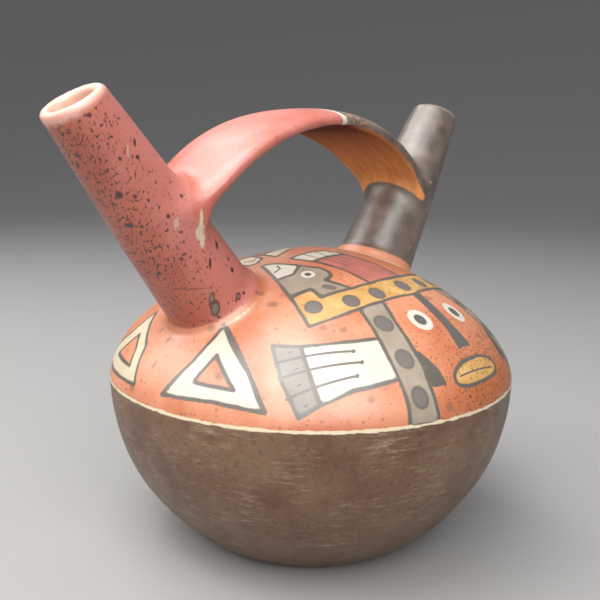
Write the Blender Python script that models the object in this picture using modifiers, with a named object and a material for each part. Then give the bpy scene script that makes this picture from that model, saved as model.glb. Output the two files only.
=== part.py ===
"""A double spout and bridge bottle of hand-built, painted clay.

One fired vessel: a squat round body, two straight spouts that lean outwards, and a flat
strap bridge between them. The bottle is hollow. Both bores run down into one chamber.
Its solids part where the potter joined the clay: at the equator, where the two halves of
the body meet, at the foot of each spout, and at both ends of the bridge.
The origin is the centre of the flat base, +Z is up, and the spouts lean along X.
"""

import math

import bmesh
import bpy
from mathutils import Vector

# Body, metres
BODY_RADIUS = 0.080
EQUATOR_HEIGHT = 0.067
SHOULDER_RISE = 0.048
SHOULDER_POWER = 1.64
LOWER_DEPTH = 0.079
BODY_WALL = 0.0055
FLOOR_THICKNESS = 0.006
# Neighbouring solids stay this far apart at the joins in the clay.
SEAM_GAP = 0.0003

# Spouts, metres and degrees. The red spout leans to -X and the dark one to +X.
SPOUT_PLANE_SHIFT = 0.0025
RED_SPOUT_OFFSET = 0.0505
RED_SPOUT_TILT = 38.5
RED_SPOUT_LENGTH = 0.085
DARK_SPOUT_OFFSET = 0.0435
DARK_SPOUT_TILT = 33.5
DARK_SPOUT_LENGTH = 0.081
SPOUT_FOOT_RADIUS = 0.0164
SPOUT_WAIST_RADIUS = 0.0141
SPOUT_WAIST_SHARE = 0.45
SPOUT_MOUTH_RADIUS = 0.0104
SPOUT_MOUTH_CUT = 7.0
SPOUT_SINK = 0.007
FOOT_FLARE = 0.0015
FOOT_FLARE_HEIGHT = 0.005
LIP_ROUNDING = 0.0026
MOUTH_BORE_RADIUS = 0.0070
FOOT_BORE_RADIUS = 0.0115

# Bridge, metres
BRIDGE_JOINT = 0.0335
BRIDGE_CLEARANCE = 0.046
STRAP_WIDTH = 0.042
STRAP_NECK_WIDTH = 0.033
STRAP_END_WIDTH = 0.024
STRAP_CROWN = 0.0050
STRAP_BELLY = 0.0023
STRAP_FLARE_LENGTH = 0.024
STRAP_FLARE = 0.0035
STRAP_CROWN_POWER = 2.3
STRAP_BELLY_POWER = 4.0

# Facets
BODY_SIDES = 64
SPOUT_SIDES = 28
BORE_SIDES = 20
SHOULDER_RINGS = 11
LOWER_RINGS = 9
INSIDE_FINENESS = 0.7
STRAP_STATIONS = 27
STRAP_POINTS = 20
SHARP_EDGE = math.radians(40)

CROWN_HEIGHT = EQUATOR_HEIGHT + SHOULDER_RISE
# Cutters run past the faces they open by this much.
CUTTER_OVERRUN = 0.006


def clear_scene():
    for obj in list(bpy.data.objects):
        bpy.data.objects.remove(obj)


def new_collection(name):
    collection = bpy.data.collections.new(name)
    bpy.context.scene.collection.children.link(collection)
    return collection


def clay_material():
    material = bpy.data.materials.new("painted_clay")
    material.use_nodes = True
    shader = material.node_tree.nodes["Principled BSDF"]
    shader.inputs["Base Color"].default_value = (0.56, 0.25, 0.14, 1.0)
    shader.inputs["Roughness"].default_value = 0.42
    shader.inputs["Metallic"].default_value = 0.0
    return material


def shoulder_curve(inset, fineness, seam):
    """(radius, height) from the crown down to the equator, moved in by a wall thickness."""
    radius = BODY_RADIUS - inset
    rise = SHOULDER_RISE - inset
    exponent = 2.0 / SHOULDER_POWER
    points = [(0.0, EQUATOR_HEIGHT + rise)]
    rings = round(SHOULDER_RINGS * fineness)
    for ring in range(1, rings):
        turn = math.radians(90) * (1 - ring / rings)
        across = radius * math.cos(turn) ** exponent
        points.append((across, EQUATOR_HEIGHT + rise * math.sin(turn) ** exponent))
    points.append((radius, EQUATOR_HEIGHT + seam))
    return points


def bowl_curve(inset, floor, fineness, seam):
    """(radius, height) from the equator down to the floor, moved in by a wall thickness."""
    radius = BODY_RADIUS - inset
    depth = LOWER_DEPTH - inset
    points = [(radius, EQUATOR_HEIGHT - seam)]
    floor_turn = math.asin((EQUATOR_HEIGHT - floor) / depth)
    rings = round(LOWER_RINGS * fineness)
    for ring in range(1, rings + 1):
        turn = floor_turn * ring / rings
        points.append((radius * math.cos(turn), EQUATOR_HEIGHT - depth * math.sin(turn)))
    points.append((0.0, floor))
    return points


def whole_body_outline(inset, floor):
    """The body from crown to base, with no seam at the equator."""
    return shoulder_curve(inset, 1.0, 0.0) + bowl_curve(inset, floor, 1.0, 0.0)[1:]


def shoulder_height(across):
    """Height of the body's skin at this distance from its axis."""
    share = (across / BODY_RADIUS) ** SHOULDER_POWER
    return EQUATOR_HEIGHT + SHOULDER_RISE * (1 - share) ** (1 / SHOULDER_POWER)


def turned(name, outline, sides, collection):
    """A solid turned about its own Z axis from an outline that runs top to bottom."""
    mesh = bpy.data.meshes.new(name)
    shape = bmesh.new()
    verts = [shape.verts.new((radius, 0.0, height)) for radius, height in outline]
    for upper, lower in zip(verts, verts[1:]):
        shape.edges.new((upper, lower))
    shape.to_mesh(mesh)
    shape.free()
    obj = bpy.data.objects.new(name, mesh)
    collection.objects.link(obj)
    screw = obj.modifiers.new("Turn", "SCREW")
    screw.steps = sides
    screw.render_steps = sides
    screw.use_merge_vertices = True
    screw.merge_threshold = 0.00001
    return obj


class Spout:
    """Where one spout stands: its side is -1 towards -X and +1 towards +X."""

    def __init__(self, name, side, offset, tilt, length):
        self.name = name
        self.side = side
        self.tilt = math.radians(tilt) * side
        self.length = length
        self.foot = Vector((side * offset, SPOUT_PLANE_SHIFT, shoulder_height(offset)))
        self.axis = Vector((math.sin(self.tilt), 0.0, math.cos(self.tilt)))

    def at(self, distance):
        return self.foot + self.axis * distance

    def place(self, obj):
        obj.location = self.foot
        obj.rotation_euler = (0.0, self.tilt, 0.0)


def spout_radius(share):
    """The spout narrows quickly from its foot to its waist, then slowly to its mouth."""
    if share < SPOUT_WAIST_SHARE:
        along = max(share, 0.0) / SPOUT_WAIST_SHARE
        return SPOUT_FOOT_RADIUS + (SPOUT_WAIST_RADIUS - SPOUT_FOOT_RADIUS) * along
    along = (share - SPOUT_WAIST_SHARE) / (1 - SPOUT_WAIST_SHARE)
    return SPOUT_WAIST_RADIUS + (SPOUT_MOUTH_RADIUS - SPOUT_WAIST_RADIUS) * along


def spout_outline(length, growth):
    """(radius, height) from the mouth down to the foot, which is sunk in the body."""
    points = [(0.0, length)]
    for turn in (90, 60, 30, 0):
        inwards = LIP_ROUNDING * (1 - math.cos(math.radians(turn)))
        down = LIP_ROUNDING * (1 - math.sin(math.radians(turn)))
        share = (length - down) / length
        points.append((spout_radius(share) - inwards, length - down))
    for share in (0.8, 0.6, SPOUT_WAIST_SHARE, 0.25):
        points.append((spout_radius(share), length * share))
    for height in (FOOT_FLARE_HEIGHT, 0.6 * FOOT_FLARE_HEIGHT, 0.3 * FOOT_FLARE_HEIGHT, 0.0):
        outwards = FOOT_FLARE * (1 - height / FOOT_FLARE_HEIGHT) ** 2
        points.append((spout_radius(height / length) + outwards, height))
    buried = SPOUT_FOOT_RADIUS + FOOT_FLARE * (1 + 2 * SPOUT_SINK / FOOT_FLARE_HEIGHT)
    points.append((buried, -SPOUT_SINK))
    points.append((0.0, -SPOUT_SINK))
    return [(radius + growth if radius else 0.0, height) for radius, height in points]


def level_mouth(obj, spout):
    """Leans the mouth a little towards level, so the lip is not square to the spout."""
    slope = math.tan(math.radians(SPOUT_MOUTH_CUT)) * spout.side
    start = spout.length * SPOUT_WAIST_SHARE
    for vert in obj.data.vertices:
        share = max(0.0, vert.co.z - start) / (spout.length - start)
        vert.co.z += slope * vert.co.x * share


def freeze(obj):
    """Applies the modifiers, so that single points can be moved."""
    graph = bpy.context.evaluated_depsgraph_get()
    mesh = bpy.data.meshes.new_from_object(obj.evaluated_get(graph))
    obj.modifiers.clear()
    obj.data = mesh


def make_spout(spout, name, growth, collection):
    """The spout as a solid rod, or with a growth as the cutter for what ends at it."""
    obj = turned(name, spout_outline(spout.length, growth), SPOUT_SIDES, collection)
    freeze(obj)
    level_mouth(obj, spout)
    spout.place(obj)
    return obj


def make_bore(spout, collection):
    """The cutter for a bore, from above the mouth down into the chamber."""
    narrowing = (FOOT_BORE_RADIUS - MOUTH_BORE_RADIUS) / spout.length
    bottom = -SPOUT_SINK - BODY_WALL - CUTTER_OVERRUN
    outline = [(0.0, spout.length + CUTTER_OVERRUN)]
    for height in (spout.length + CUTTER_OVERRUN, 0.0, bottom):
        outline.append((FOOT_BORE_RADIUS - narrowing * max(height, 0.0), height))
    outline.append((0.0, bottom))
    obj = turned(spout.name + "_bore", outline, BORE_SIDES, collection)
    spout.place(obj)
    return obj


def circle_through(first, second, third):
    """Centre and radius of the circle through three points of the XZ plane."""
    ax, az, bx, bz, cx, cz = first.x, first.z, second.x, second.z, third.x, third.z
    a2, b2, c2 = ax * ax + az * az, bx * bx + bz * bz, cx * cx + cz * cz
    scale = 2 * (ax * (bz - cz) + bx * (cz - az) + cx * (az - bz))
    x = (a2 * (bz - cz) + b2 * (cz - az) + c2 * (az - bz)) / scale
    z = (a2 * (cx - bx) + b2 * (ax - cx) + c2 * (bx - ax)) / scale
    return Vector((x, 0.0, z)), math.hypot(ax - x, az - z)


def strap_section(width, crown, belly):
    """Points (across, up) round the strap: a domed top over a nearly flat underside."""
    points = []
    for index in range(STRAP_POINTS):
        turn = 2 * math.pi * index / STRAP_POINTS
        across, up = math.cos(turn), math.sin(turn)
        power = STRAP_CROWN_POWER if up >= 0 else STRAP_BELLY_POWER
        height = crown if up >= 0 else belly
        across = math.copysign(abs(across) ** (2 / power), across)
        up = math.copysign(abs(up) ** (2 / power), up)
        points.append((across * width / 2, up * height))
    return points


def make_strap(left, right, collection):
    """The bridge, lofted along an arc whose underside clears the crown of the body."""
    crest = Vector((0.0, 0.0, CROWN_HEIGHT + BRIDGE_CLEARANCE + STRAP_BELLY))
    start, end = left.at(BRIDGE_JOINT), right.at(BRIDGE_JOINT)
    centre, radius = circle_through(start, crest, end)
    first = math.atan2(start.x - centre.x, start.z - centre.z)
    last = math.atan2(end.x - centre.x, end.z - centre.z)
    shape = bmesh.new()
    rings = []
    for station in range(STRAP_STATIONS):
        turn = first + (last - first) * station / (STRAP_STATIONS - 1)
        from_end = radius * min(turn - first, last - turn)
        flare = max(0.0, 1 - from_end / STRAP_FLARE_LENGTH) ** 2
        aside = abs(2 * station / (STRAP_STATIONS - 1) - 1)
        width = STRAP_WIDTH + (STRAP_NECK_WIDTH - STRAP_WIDTH) * aside**2
        width += (STRAP_END_WIDTH - STRAP_NECK_WIDTH) * flare
        crown = STRAP_CROWN + STRAP_FLARE * flare
        outwards = Vector((math.sin(turn), 0.0, math.cos(turn)))
        ring = []
        for across, up in strap_section(width, crown, STRAP_BELLY):
            point = centre + outwards * (radius + up)
            ring.append(shape.verts.new((point.x, SPOUT_PLANE_SHIFT + across, point.z)))
        rings.append(ring)
    for ring, following in zip(rings, rings[1:]):
        for index in range(STRAP_POINTS):
            after = (index + 1) % STRAP_POINTS
            shape.faces.new((ring[index], following[index], following[after], ring[after]))
    shape.faces.new(rings[0])
    shape.faces.new(rings[-1])
    bmesh.ops.recalc_face_normals(shape, faces=shape.faces)
    mesh = bpy.data.meshes.new("strap_bridge")
    shape.to_mesh(mesh)
    shape.free()
    obj = bpy.data.objects.new("strap_bridge", mesh)
    collection.objects.link(obj)
    return obj


def cut(obj, cutter):
    modifier = obj.modifiers.new(cutter.name, "BOOLEAN")
    modifier.operation = "DIFFERENCE"
    modifier.solver = "EXACT"
    modifier.object = cutter


def make_lower_body(parts):
    """The bowl below the equator, with its floor."""
    inside = bowl_curve(BODY_WALL, FLOOR_THICKNESS, INSIDE_FINENESS, SEAM_GAP / 2)
    outside = bowl_curve(0.0, 0.0, 1.0, SEAM_GAP / 2)
    return turned("lower_body", inside[::-1] + outside, BODY_SIDES, parts)


def make_shoulder(bores, parts):
    """The dome above the equator, with a hole where each spout stands."""
    outside = shoulder_curve(0.0, 1.0, SEAM_GAP / 2)
    inside = shoulder_curve(BODY_WALL, INSIDE_FINENESS, SEAM_GAP / 2)
    shoulder = turned("shoulder", outside + inside[::-1], BODY_SIDES, parts)
    for bore in bores:
        cut(shoulder, bore)
    return shoulder


def make_vessel():
    parts = new_collection("double_spout_vessel")
    helpers = new_collection("helpers")
    spouts = [
        Spout("red_spout", -1, RED_SPOUT_OFFSET, RED_SPOUT_TILT, RED_SPOUT_LENGTH),
        Spout("dark_spout", 1, DARK_SPOUT_OFFSET, DARK_SPOUT_TILT, DARK_SPOUT_LENGTH),
    ]
    body_outline = whole_body_outline(-SEAM_GAP, -SEAM_GAP)
    body_skin = turned("body_skin", body_outline, BODY_SIDES, helpers)
    bores = [make_bore(spout, helpers) for spout in spouts]
    nodes = [make_lower_body(parts), make_shoulder(bores, parts)]
    bridge = make_strap(*spouts, parts)
    cutters = [body_skin, *bores]
    for spout, bore in zip(spouts, bores):
        node = make_spout(spout, spout.name, 0.0, parts)
        cut(node, body_skin)
        cut(node, bore)
        nodes.append(node)
        spout_skin = make_spout(spout, spout.name + "_skin", SEAM_GAP, helpers)
        cut(bridge, spout_skin)
        cutters.append(spout_skin)
    for cutter in cutters:
        cutter.hide_render = True
        cutter.display_type = "WIRE"
    return nodes + [bridge]


def finish(obj, clay):
    """Keeps the cut mesh, merges what the cuts left double, and shades it smooth."""
    freeze(obj)
    shape = bmesh.new()
    shape.from_mesh(obj.data)
    bmesh.ops.remove_doubles(shape, verts=shape.verts, dist=0.00002)
    shape.to_mesh(obj.data)
    shape.free()
    obj.data.materials.clear()
    obj.data.materials.append(clay)
    obj.data.shade_smooth()
    obj.data.set_sharp_from_angle(angle=SHARP_EDGE)


clear_scene()
painted_clay = clay_material()
for piece in make_vessel():
    finish(piece, painted_clay)
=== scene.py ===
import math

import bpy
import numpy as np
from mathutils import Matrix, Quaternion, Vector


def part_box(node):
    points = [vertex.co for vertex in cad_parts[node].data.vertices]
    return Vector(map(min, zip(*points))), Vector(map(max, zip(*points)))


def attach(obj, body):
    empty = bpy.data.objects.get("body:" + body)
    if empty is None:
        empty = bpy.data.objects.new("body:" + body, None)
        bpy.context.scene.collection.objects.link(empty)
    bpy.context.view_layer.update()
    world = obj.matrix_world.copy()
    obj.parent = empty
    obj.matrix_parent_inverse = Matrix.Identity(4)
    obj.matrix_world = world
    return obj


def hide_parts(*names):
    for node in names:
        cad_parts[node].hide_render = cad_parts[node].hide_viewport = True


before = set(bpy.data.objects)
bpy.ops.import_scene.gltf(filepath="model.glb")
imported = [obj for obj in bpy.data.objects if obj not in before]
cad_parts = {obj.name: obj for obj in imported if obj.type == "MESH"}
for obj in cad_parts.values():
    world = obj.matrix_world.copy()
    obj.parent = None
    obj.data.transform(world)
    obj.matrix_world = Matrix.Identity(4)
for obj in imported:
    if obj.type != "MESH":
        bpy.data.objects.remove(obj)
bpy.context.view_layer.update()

# A double spout and bridge bottle of burnished, slip-painted clay. One hollow vessel is
# thrown, joined and settled into soft clay joins, and its painting is worked out from
# sizes in millimetres on the shoulder.

MM = 0.001

# Body, in millimetres and degrees, read from the frame where it shows them
LOWER_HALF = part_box("lower_body")
UPPER_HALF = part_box("shoulder")
BODY_RADIUS = LOWER_HALF[1][0] / MM
EQUATOR = (LOWER_HALF[1][2] + UPPER_HALF[0][2]) / 2 / MM
SHOULDER_RISE = UPPER_HALF[1][2] / MM - EQUATOR
SHOULDER_POWER = 1.64
LOWER_DEPTH = 79.0
BODY_WALL = 5.5
FLOOR_THICKNESS = 6.0
BASE_ROUNDING = 2.0
CROWN_TURN = 89.9
BODY_SIDES = 144
BODY_RINGS = 30
CHAMBER_SIDES = 72
CHAMBER_RINGS = 16

# Spouts, in millimetres and degrees
SPOUT_SHIFT = 2.5
SPOUT_FOOT_RADIUS = 16.4
SPOUT_WAIST_RADIUS = 14.1
SPOUT_WAIST_SHARE = 0.45
SPOUT_MOUTH_RADIUS = 10.4
SPOUT_MOUTH_CUT = 7.0
SPOUT_SINK = 7.0
FOOT_FLARE = 1.5
FOOT_FLARE_HEIGHT = 5.0
FOOT_BORE_RADIUS = 11.5
MOUTH_BORE_RADIUS = 7.0
MOUTH_DEPTH = 10.0
LIP_REACH = 7.0
BORE_LEDGE = 0.3
BORE_OVERLAP = 2.0
BORE_DROP = 6.0
BORE_SIDES = 48
SPOUT_SIDES = 96
SPOUT_RINGS = 14

# Bridge, in millimetres
BRIDGE_JOINT = 33.5
BRIDGE_CLEARANCE = 46.0
STRAP_WIDTH = 42.0
STRAP_NECK_WIDTH = 33.0
STRAP_END_WIDTH = 24.0
STRAP_CROWN = 5.0
STRAP_BELLY = 2.3
STRAP_FLARE_LENGTH = 24.0
STRAP_FLARE = 3.5
STRAP_CROWN_POWER = 2.3
STRAP_BELLY_POWER = 4.0
STRAP_END_INSET = 6.0
STRAP_SECTION_POINTS = 40
STRAP_STEPS = 72

# Clay surface, in millimetres and degrees
CLAY_GRAIN = 1.2
FOOT_FILLET = 3.0
STRAP_FILLET = 9.0
HAND_WOBBLE = 0.16
WOBBLE_SEED = 7
WOBBLE_WAVES = 9
WOBBLE_LENGTHS = (22, 60)
WOBBLE_START = 8
RELAX_ROUNDS = 4
SETTLE_ROUNDS = 3
SETTLE_STEP = 0.05
SETTLE_REACH = 1.5
LEAST_SLOPE = 0.2
LIP_ZONE_RADIUS = 16
LIP_ZONE_FADE = 3
SMOOTH_ANGLE = 75

# Camera, in millimetres and degrees
CAMERA_PLACE = (-224.2, -201.0, 150.2)
CAMERA_AIM = (-1.1, 5.2, 92.8)
CAMERA_ROLL = 0.72
CAMERA_LENS = 45.48


def select_only(obj):
    if bpy.context.object and bpy.context.object.mode != "OBJECT":
        bpy.ops.object.mode_set(mode="OBJECT")
    bpy.ops.object.select_all(action="DESELECT")
    obj.select_set(True)
    bpy.context.view_layer.objects.active = obj


def apply_modifier(obj, kind, **settings):
    select_only(obj)
    modifier = obj.modifiers.new(kind.lower(), kind)
    for name, value in settings.items():
        setattr(modifier, name, value)
    bpy.ops.object.modifier_apply(modifier=modifier.name)


def points_of(obj):
    """The piece's points in millimetres."""
    flat = np.empty(len(obj.data.vertices) * 3)
    obj.data.vertices.foreach_get("co", flat)
    return flat.reshape(-1, 3) / MM


def move_points(obj, points):
    obj.data.vertices.foreach_set("co", (points * MM).ravel())
    obj.data.update()


def throw(name, outline, sides):
    """Raises a wall from its lowest ring, as on a wheel, through (radius, height) rings."""
    bpy.ops.object.select_all(action="DESELECT")
    radius, height = outline[0]
    bpy.ops.mesh.primitive_circle_add(
        vertices=sides, radius=radius * MM, fill_type="NGON", location=(0, 0, height * MM)
    )
    obj = bpy.context.object
    obj.name = name
    bpy.ops.object.transform_apply(location=True)
    bpy.ops.object.mode_set(mode="EDIT")
    bpy.ops.mesh.select_all(action="SELECT")
    for wider, higher in outline[1:]:
        lift = (0, 0, (higher - height) * MM)
        bpy.ops.mesh.extrude_region_move(TRANSFORM_OT_translate={"value": lift})
        growth = wider / radius
        bpy.ops.transform.resize(
            value=(growth, growth, 1), center_override=(0, 0, higher * MM)
        )
        radius, height = wider, higher
    bpy.ops.mesh.select_all(action="SELECT")
    bpy.ops.mesh.normals_make_consistent(inside=False)
    bpy.ops.object.mode_set(mode="OBJECT")
    return obj


def shoulder_ring(turn, inset=0.0):
    """(radius, height) on the shoulder, from the equator at 0 to the crown at 90 degrees."""
    power = 2 / SHOULDER_POWER
    across = (BODY_RADIUS - inset) * math.cos(turn) ** power
    return across, EQUATOR + (SHOULDER_RISE - inset) * math.sin(turn) ** power


def bowl_ring(turn, inset=0.0):
    """(radius, height) on the lower half, from the equator at 0 downwards."""
    across = (BODY_RADIUS - inset) * math.cos(turn)
    return across, EQUATOR - (LOWER_DEPTH - inset) * math.sin(turn)


def body_outline(inset, floor, rings):
    """Rings from the floor up to a hair's breadth from the crown."""
    floor_turn = math.asin((EQUATOR - floor) / (LOWER_DEPTH - inset))
    bowl = [bowl_ring(floor_turn * (1 - ring / rings), inset) for ring in range(rings)]
    quarter = math.radians(CROWN_TURN)
    dome = [shoulder_ring(quarter * ring / rings, inset) for ring in range(rings + 1)]
    return bowl + dome


def shoulder_height(across):
    share = (across / BODY_RADIUS) ** SHOULDER_POWER
    return EQUATOR + SHOULDER_RISE * (1 - share) ** (1 / SHOULDER_POWER)


class Spout:
    """Where one spout stands: its side is -1 towards -X and +1 towards +X."""

    def __init__(self, name, side, offset, tilt, length):
        self.name = name
        self.side = side
        self.length = length
        self.lean = math.radians(tilt) * side
        self.foot = np.array([side * offset, SPOUT_SHIFT, shoulder_height(offset)])
        self.axis = np.array([math.sin(self.lean), 0.0, math.cos(self.lean)])

    def measure(self, points):
        """How far each point is along the spout from its foot, and out from its axis."""
        rest = points - self.foot
        along = rest @ self.axis
        return along, np.linalg.norm(rest - along[:, None] * self.axis, axis=1)

    def radius(self, along):
        waist = self.length * SPOUT_WAIST_SHARE
        radii = (SPOUT_FOOT_RADIUS, SPOUT_WAIST_RADIUS, SPOUT_MOUTH_RADIUS)
        flare = FOOT_FLARE * np.clip(1 - along / FOOT_FLARE_HEIGHT, 0, 1) ** 2
        return np.interp(along, (0, waist, self.length), radii) + flare

    def bore(self, along):
        return FOOT_BORE_RADIUS + (MOUTH_BORE_RADIUS - FOOT_BORE_RADIUS) * along / self.length

    def mouth_rise(self, along, across):
        """How far the sloping cut of the mouth lifts a point, less and less towards the waist."""
        waist = self.length * SPOUT_WAIST_SHARE
        share = np.maximum(0, along - waist) / (self.length - waist)
        return math.tan(math.radians(SPOUT_MOUTH_CUT)) * self.side * across * share

    def lip_distance(self, points):
        """Distance from the skin of the open wall near the mouth, with its round lip."""
        along, out = self.measure(points)
        across = (points - self.foot) @ np.array([self.axis[2], 0.0, -self.axis[0]])
        along = along - self.mouth_rise(along, across)
        middle = (self.radius(along) + MOUTH_BORE_RADIUS) / 2
        half_wall = (self.radius(along) - MOUTH_BORE_RADIUS) / 2
        above = np.maximum(along - (self.length - half_wall), 0)
        return np.hypot(out - middle, above) - half_wall

    def stand_up(self, obj):
        """Leans a piece thrown at the origin, and sets it on the shoulder."""
        select_only(obj)
        obj.rotation_euler = (0, self.lean, 0)
        obj.location = self.foot * MM
        bpy.ops.object.transform_apply(location=True, rotation=True)


RED_SPOUT = Spout("red_spout_clay", -1, 50.5, 38.5, 85.0)
DARK_SPOUT = Spout("dark_spout_clay", 1, 43.5, 33.5, 81.0)


def throw_spout(spout):
    """One spout with its rounded lip and the first stretch of its bore."""
    foot = [-SPOUT_SINK, -SPOUT_SINK / 2, 0, 1, 2, 3.5, FOOT_FLARE_HEIGHT]
    lip = (SPOUT_MOUTH_RADIUS - MOUTH_BORE_RADIUS) / 2
    wall = np.linspace(FOOT_FLARE_HEIGHT, spout.length - lip, SPOUT_RINGS)[1:-1]
    outline = [(float(spout.radius(height)), height) for height in [*foot, *wall]]
    for turn in range(0, 181, 20):
        across = MOUTH_BORE_RADIUS + lip + lip * math.cos(math.radians(turn))
        outline.append((across, spout.length - lip + lip * math.sin(math.radians(turn))))
    outline.append((spout.bore(spout.length - MOUTH_DEPTH), spout.length - MOUTH_DEPTH))
    obj = throw(spout.name, outline, SPOUT_SIDES)
    points = points_of(obj)
    points[:, 2] += spout.mouth_rise(points[:, 2], points[:, 0])
    move_points(obj, points)
    spout.stand_up(obj)
    return obj


class Strap:
    """The bridge's arc: a circle through its two joints and the crest over the body."""

    def __init__(self, left, right):
        start = left.foot + left.axis * BRIDGE_JOINT
        end = right.foot + right.axis * BRIDGE_JOINT
        crest = EQUATOR + SHOULDER_RISE + BRIDGE_CLEARANCE + STRAP_BELLY
        rows = [(2 * x, 2 * z, 1) for x, z in ((start[0], start[2]), (0, crest), (end[0], end[2]))]
        squares = [(x * x + z * z) / 4 for x, z, _ in rows]
        self.x, self.z, rest = np.linalg.solve(rows, squares)
        self.radius = math.sqrt(rest + self.x**2 + self.z**2)
        self.first = math.atan2(start[0] - self.x, start[2] - self.z)
        self.last = math.atan2(end[0] - self.x, end[2] - self.z)

    def measure(self, points):
        """Turn along the arc, distance across from its middle, and height above the arc."""
        x, z = points[:, 0] - self.x, points[:, 2] - self.z
        return np.arctan2(x, z), points[:, 1] - SPOUT_SHIFT, np.hypot(x, z) - self.radius

    def section(self, turn):
        """Half width and crown height at a turn."""
        inside = np.clip(turn, self.first, self.last)
        from_end = self.radius * np.minimum(inside - self.first, self.last - inside)
        flare = np.maximum(0, 1 - from_end / STRAP_FLARE_LENGTH) ** 2
        aside = np.abs(2 * (inside - self.first) / (self.last - self.first) - 1)
        width = STRAP_WIDTH + (STRAP_NECK_WIDTH - STRAP_WIDTH) * aside**2
        width = width + (STRAP_END_WIDTH - STRAP_NECK_WIDTH) * flare
        return width / 2, STRAP_CROWN + STRAP_FLARE * flare

    def place(self, turn, across, up):
        """The point at this turn, this far across and this high above the arc."""
        out = self.radius + up
        return np.stack(
            [self.x + out * np.sin(turn), SPOUT_SHIFT + across, self.z + out * np.cos(turn)], 1
        )


STRAP = Strap(RED_SPOUT, DARK_SPOUT)


def bend_strap():
    """One section of the strap, spun along the arc and then drawn in towards its ends."""
    bpy.ops.object.select_all(action="DESELECT")
    bpy.ops.mesh.primitive_circle_add(vertices=STRAP_SECTION_POINTS, radius=1.0)
    obj = bpy.context.object
    obj.name = "strap_clay"
    ring = points_of(obj) * MM
    power = np.where(ring[:, 1] >= 0, STRAP_CROWN_POWER, STRAP_BELLY_POWER)
    height = np.where(ring[:, 1] >= 0, STRAP_CROWN, STRAP_BELLY)
    across = np.sign(ring[:, 0]) * np.abs(ring[:, 0]) ** (2 / power) * STRAP_WIDTH / 2
    up = np.sign(ring[:, 1]) * np.abs(ring[:, 1]) ** (2 / power) * height
    move_points(obj, STRAP.place(STRAP.first, across, up))
    bpy.ops.object.mode_set(mode="EDIT")
    bpy.ops.mesh.select_all(action="SELECT")
    # Spin turns against its axis, so the angle is given backwards
    bpy.ops.mesh.spin(
        steps=STRAP_STEPS,
        angle=STRAP.first - STRAP.last,
        center=(STRAP.x * MM, 0, STRAP.z * MM),
        axis=(0, 1, 0),
    )
    bpy.ops.mesh.select_all(action="SELECT")
    bpy.ops.mesh.fill_holes(sides=0)
    bpy.ops.mesh.normals_make_consistent(inside=False)
    bpy.ops.object.mode_set(mode="OBJECT")
    turn, across, up = STRAP.measure(points_of(obj))
    half_width, crown = STRAP.section(turn)
    across *= half_width * 2 / STRAP_WIDTH
    up *= np.where(up > 0, crown / STRAP_CROWN, 1)
    move_points(obj, STRAP.place(turn, across, up))
    return obj


def body_distance(points):
    """Distance from the body's skin, negative inside."""
    across = np.hypot(points[:, 0], points[:, 1]) + 1e-6
    rise = points[:, 2] - EQUATOR
    power = np.where(rise >= 0, SHOULDER_POWER, 2.0)
    depth = np.where(rise >= 0, SHOULDER_RISE, LOWER_DEPTH)
    wide, high = across / BODY_RADIUS, np.abs(rise) / depth + 1e-6
    total = wide**power + high**power
    swell = total ** (1 / power)
    slope = total ** (1 / power - 1)
    gain = slope * np.stack([wide, high]) ** (power - 1)
    steepness = np.hypot(gain[0] / BODY_RADIUS, gain[1] / depth)
    return -blend(-(swell - 1) / steepness, points[:, 2], BASE_ROUNDING)


def spout_distance(spout, points):
    along, out = spout.measure(points)
    beyond = np.maximum(along - spout.length, -SPOUT_SINK - along)
    return np.maximum(out - spout.radius(along), beyond)


def strap_distance(points):
    turn, across, up = STRAP.measure(points)
    half_width, crown = STRAP.section(turn)
    power = np.where(up >= 0, STRAP_CROWN_POWER, STRAP_BELLY_POWER)
    height = np.where(up >= 0, crown, STRAP_BELLY)
    wide, high = np.abs(across) / half_width + 1e-6, np.abs(up) / height + 1e-6
    total = wide**power + high**power
    slope = total ** (1 / power - 1)
    gain = slope * np.stack([wide, high]) ** (power - 1)
    steepness = np.hypot(gain[0] / half_width, gain[1] / height)
    beyond = STRAP.radius * np.maximum(STRAP.first - turn, turn - STRAP.last) + STRAP_END_INSET
    return np.maximum((total ** (1 / power) - 1) / steepness, beyond)


def blend(first, second, reach):
    """The smaller of two distances, with a soft join where they are nearly equal."""
    share = np.clip(0.5 + 0.5 * (second - first) / reach, 0, 1)
    return second + (first - second) * share - reach * share * (1 - share)


def wobble(points):
    """The slight unevenness of a surface made by hand."""
    draw = np.random.default_rng(WOBBLE_SEED)
    total = np.zeros(len(points))
    for _ in range(WOBBLE_WAVES):
        way = draw.normal(size=3)
        way *= 2 * math.pi / draw.uniform(*WOBBLE_LENGTHS) / np.linalg.norm(way)
        total += np.sin(points @ way + draw.uniform(0, 2 * math.pi))
    return total / math.sqrt(WOBBLE_WAVES) * np.clip(points[:, 2] / WOBBLE_START, 0, 1)


def clay_distance(points):
    """Distance from the whole vessel's skin, with its joins smoothed over."""
    body = body_distance(points) + HAND_WOBBLE * wobble(points)
    whole = blend(body, spout_distance(RED_SPOUT, points), FOOT_FILLET)
    whole = blend(whole, spout_distance(DARK_SPOUT, points), FOOT_FILLET)
    return blend(whole, strap_distance(points), STRAP_FILLET)


def skin_distance(points):
    """Distance from the whole skin, with the walls open near the mouths."""
    away = clay_distance(points)
    for spout in (RED_SPOUT, DARK_SPOUT):
        along, out = spout.measure(points)
        near_lip = (out < LIP_ZONE_RADIUS) & (along > spout.length - LIP_REACH)
        away = np.where(near_lip, spout.lip_distance(points), away)
    return away


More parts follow.
